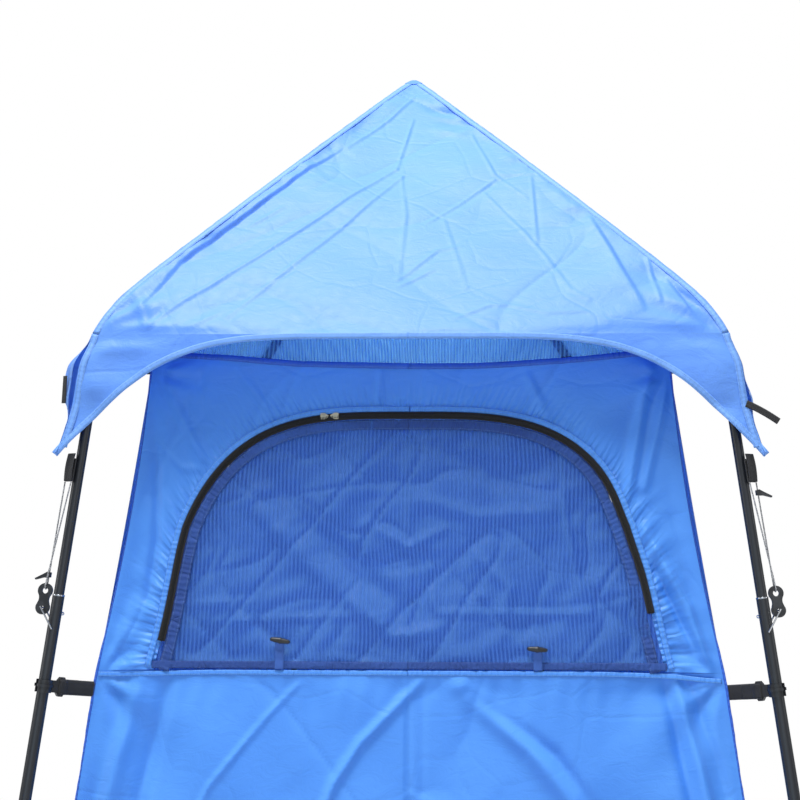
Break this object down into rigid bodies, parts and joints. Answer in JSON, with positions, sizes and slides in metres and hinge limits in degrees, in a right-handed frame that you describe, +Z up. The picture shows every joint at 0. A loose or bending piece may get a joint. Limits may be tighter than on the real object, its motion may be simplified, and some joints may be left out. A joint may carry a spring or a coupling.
{
  "type": "privacy shower tent",
  "caption": "Free-standing square shower tent on a folding telescopic leg frame, with a pitched fly, mesh inner roof, tapered fabric body, arched zipped window and webbing straps.",
  "frame": {"origin": "on the ground, midway between the four feet", "axes": "+Z up; the window wall is the front and faces -Y; +X is to the right of a viewer in front"},
  "size_m": [1.5012, 1.5012, 2.292],
  "materials": {
    "fly_cloth": "satin",
    "wall_cloth": "satin",
    "roof_mesh": "matte",
    "window_mesh": "matte",
    "binding": "matte",
    "webbing": "matte",
    "zipper": "satin",
    "black_plastic": "satin",
    "coated_tube": "satin",
    "bright_steel": "satin",
    "slider_metal": "satin",
    "cord": "matte"
  },
  "bodies": {
    "hub": {"hub_housing": "black_plastic", "hub_cap": "black_plastic", "hub_pins": "bright_steel", "fly": "fly_cloth", "fly_tabs": "webbing", "roof_mesh": "roof_mesh", "front_wall": "wall_cloth", "back_wall": "wall_cloth", "left_wall": "wall_cloth", "right_wall": "wall_cloth", "wall_bindings": "binding", "window_mesh": "window_mesh", "window_flap": "wall_cloth", "window_zipper": "zipper", "window_toggles": "black_plastic", "body_straps": "webbing", "door_zipper": "zipper"},
    "arm_front_left": {"arm_tube_front_left": "coated_tube", "arm_fittings_front_left": "black_plastic"},
    "leg_front_left": {"upper_leg_front_left": "coated_tube", "leg_socket_front_left": "black_plastic", "leg_hardware_front_left": "black_plastic", "tension_cord_front_left": "cord"},
    "lower_front_left": {"lower_leg_front_left": "coated_tube", "foot_front_left": "black_plastic"},
    "button_front_left": {"leg_button_front_left": "bright_steel"},
    "hook_front_left": {"tension_hook_front_left": "bright_steel"},
    "arm_front_right": {"arm_tube_front_right": "coated_tube", "arm_fittings_front_right": "black_plastic"},
    "leg_front_right": {"upper_leg_front_right": "coated_tube", "leg_socket_front_right": "black_plastic", "leg_hardware_front_right": "black_plastic", "tension_cord_front_right": "cord"},
    "lower_front_right": {"lower_leg_front_right": "coated_tube", "foot_front_right": "black_plastic"},
    "button_front_right": {"leg_button_front_right": "bright_steel"},
    "hook_front_right": {"tension_hook_front_right": "bright_steel"},
    "arm_back_left": {"arm_tube_back_left": "coated_tube", "arm_fittings_back_left": "black_plastic"},
    "leg_back_left": {"upper_leg_back_left": "coated_tube", "leg_socket_back_left": "black_plastic", "leg_hardware_back_left": "black_plastic", "tension_cord_back_left": "cord"},
    "lower_back_left": {"lower_leg_back_left": "coated_tube", "foot_back_left": "black_plastic"},
    "button_back_left": {"leg_button_back_left": "bright_steel"},
    "hook_back_left": {"tension_hook_back_left": "bright_steel"},
    "arm_back_right": {"arm_tube_back_right": "coated_tube", "arm_fittings_back_right": "black_plastic"},
    "leg_back_right": {"upper_leg_back_right": "coated_tube", "leg_socket_back_right": "black_plastic", "leg_hardware_back_right": "black_plastic", "tension_cord_back_right": "cord"},
    "lower_back_right": {"lower_leg_back_right": "coated_tube", "foot_back_right": "black_plastic"},
    "button_back_right": {"leg_button_back_right": "bright_steel"},
    "hook_back_right": {"tension_hook_back_right": "bright_steel"},
    "window_slider_left": {"window_slider_left": "slider_metal"},
    "window_slider_right": {"window_slider_right": "slider_metal"},
    "door_slider": {"door_slider": "slider_metal"}
  },
  "joints": [
    {"name": "roof_fold_front_left", "type": "hinge", "parent": "hub", "child": "arm_front_left", "pos_m": [-0.02828, -0.02828, 2.226], "axis": [-0.7071, 0.7071, 0], "range_deg": [0, 119.5], "deforming": ["fly", "fly_tabs", "roof_mesh", "front_wall", "back_wall", "left_wall", "right_wall", "wall_bindings", "window_mesh", "window_flap", "window_zipper", "window_toggles", "body_straps", "door_zipper"]},
    {"name": "elbow_fold_front_left", "type": "hinge", "parent": "arm_front_left", "child": "leg_front_left", "pos_m": [-0.51371, -0.51371, 1.63511], "axis": [0.7071, -0.7071, 0], "range_deg": [0, 128.3]},
    {"name": "leg_slide_front_left", "type": "slide", "parent": "leg_front_left", "child": "lower_front_left", "axis": [0.1087, 0.1087, 0.9881], "range_m": [0, 0.34]},
    {"name": "button_press_front_left", "type": "slide", "parent": "lower_front_left", "child": "button_front_left", "axis": [-0.6987, -0.6987, 0.1537], "range_m": [0, 0.0025], "stiffness_N_per_m": 400},
    {"name": "hook_swing_front_left", "type": "hinge", "parent": "leg_front_left", "child": "hook_front_left", "pos_m": [-0.59794, -0.57494, 1.20137], "axis": [-0.0059, 0.9941, -0.1087], "range_deg": [0, 60]},
    {"name": "roof_fold_front_right", "type": "hinge", "parent": "hub", "child": "arm_front_right", "pos_m": [0.02828, -0.02828, 2.226], "axis": [-0.7071, -0.7071, 0], "range_deg": [0, 119.5]},
    {"name": "elbow_fold_front_right", "type": "hinge", "parent": "arm_front_right", "child": "leg_front_right", "pos_m": [0.51371, -0.51371, 1.63511], "axis": [0.7071, 0.7071, 0], "range_deg": [0, 128.3]},
    {"name": "leg_slide_front_right", "type": "slide", "parent": "leg_front_right", "child": "lower_front_right", "axis": [-0.1087, 0.1087, 0.9881], "range_m": [0, 0.34]},
    {"name": "button_press_front_right", "type": "slide", "parent": "lower_front_right", "child": "button_front_right", "axis": [0.6987, -0.6987, 0.1537], "range_m": [0, 0.0025], "stiffness_N_per_m": 400},
    {"name": "hook_swing_front_right", "type": "hinge", "parent": "leg_front_right", "child": "hook_front_right", "pos_m": [0.59794, -0.57494, 1.20137], "axis": [-0.0059, -0.9941, 0.1087], "range_deg": [0, 60]},
    {"name": "roof_fold_back_left", "type": "hinge", "parent": "hub", "child": "arm_back_left", "pos_m": [-0.02828, 0.02828, 2.226], "axis": [0.7071, 0.7071, 0], "range_deg": [0, 119.5]},
    {"name": "elbow_fold_back_left", "type": "hinge", "parent": "arm_back_left", "child": "leg_back_left", "pos_m": [-0.51371, 0.51371, 1.63511], "axis": [-0.7071, -0.7071, 0], "range_deg": [0, 128.3]},
    {"name": "leg_slide_back_left", "type": "slide", "parent": "leg_back_left", "child": "lower_back_left", "axis": [0.1087, -0.1087, 0.9881], "range_m": [0, 0.34]},
    {"name": "button_press_back_left", "type": "slide", "parent": "lower_back_left", "child": "button_back_left", "axis": [-0.6987, 0.6987, 0.1537], "range_m": [0, 0.0025], "stiffness_N_per_m": 400},
    {"name": "hook_swing_back_left", "type": "hinge", "parent": "leg_back_left", "child": "hook_back_left", "pos_m": [-0.59794, 0.57494, 1.20137], "axis": [0.0059, 0.9941, 0.1087], "range_deg": [0, 60]},
    {"name": "roof_fold_back_right", "type": "hinge", "parent": "hub", "child": "arm_back_right", "pos_m": [0.02828, 0.02828, 2.226], "axis": [0.7071, -0.7071, 0], "range_deg": [0, 119.5]},
    {"name": "elbow_fold_back_right", "type": "hinge", "parent": "arm_back_right", "child": "leg_back_right", "pos_m": [0.51371, 0.51371, 1.63511], "axis": [-0.7071, 0.7071, 0], "range_deg": [0, 128.3]},
    {"name": "leg_slide_back_right", "type": "slide", "parent": "leg_back_right", "child": "lower_back_right", "axis": [-0.1087, -0.1087, 0.9881], "range_m": [0, 0.34]},
    {"name": "button_press_back_right", "type": "slide", "parent": "lower_back_right", "child": "button_back_right", "axis": [0.6987, 0.6987, 0.1537], "range_m": [0, 0.0025], "stiffness_N_per_m": 400},
    {"name": "hook_swing_back_right", "type": "hinge", "parent": "leg_back_right", "child": "hook_back_right", "pos_m": [0.59794, 0.57494, 1.20137], "axis": [0.0059, -0.9941, -0.1087], "range_deg": [0, 60]},
    {"name": "window_slider_left_pull", "type": "slide", "parent": "hub", "child": "window_slider_left", "axis": [1, 0, 0], "range_m": [-0.06, 0]},
    {"name": "window_slider_right_pull", "type": "slide", "parent": "hub", "child": "window_slider_right", "axis": [1, 0, 0], "range_m": [0, 0.18]},
    {"name": "door_slider_pull", "type": "slide", "parent": "hub", "child": "door_slider", "axis": [0, -0.128, 0.9918], "range_m": [0, 1.1]}
  ],
  "couplings": [
    {"joint": "elbow_fold_front_left", "follows": "roof_fold_front_left", "ratio": 1.0736},
    {"joint": "roof_fold_front_right", "follows": "roof_fold_front_left", "ratio": 1},
    {"joint": "elbow_fold_front_right", "follows": "roof_fold_front_left", "ratio": 1.0736},
    {"joint": "roof_fold_back_left", "follows": "roof_fold_front_left", "ratio": 1},
    {"joint": "elbow_fold_back_left", "follows": "roof_fold_front_left", "ratio": 1.0736},
    {"joint": "roof_fold_back_right", "follows": "roof_fold_front_left", "ratio": 1},
    {"joint": "elbow_fold_back_right", "follows": "roof_fold_front_left", "ratio": 1.0736}
  ]
}
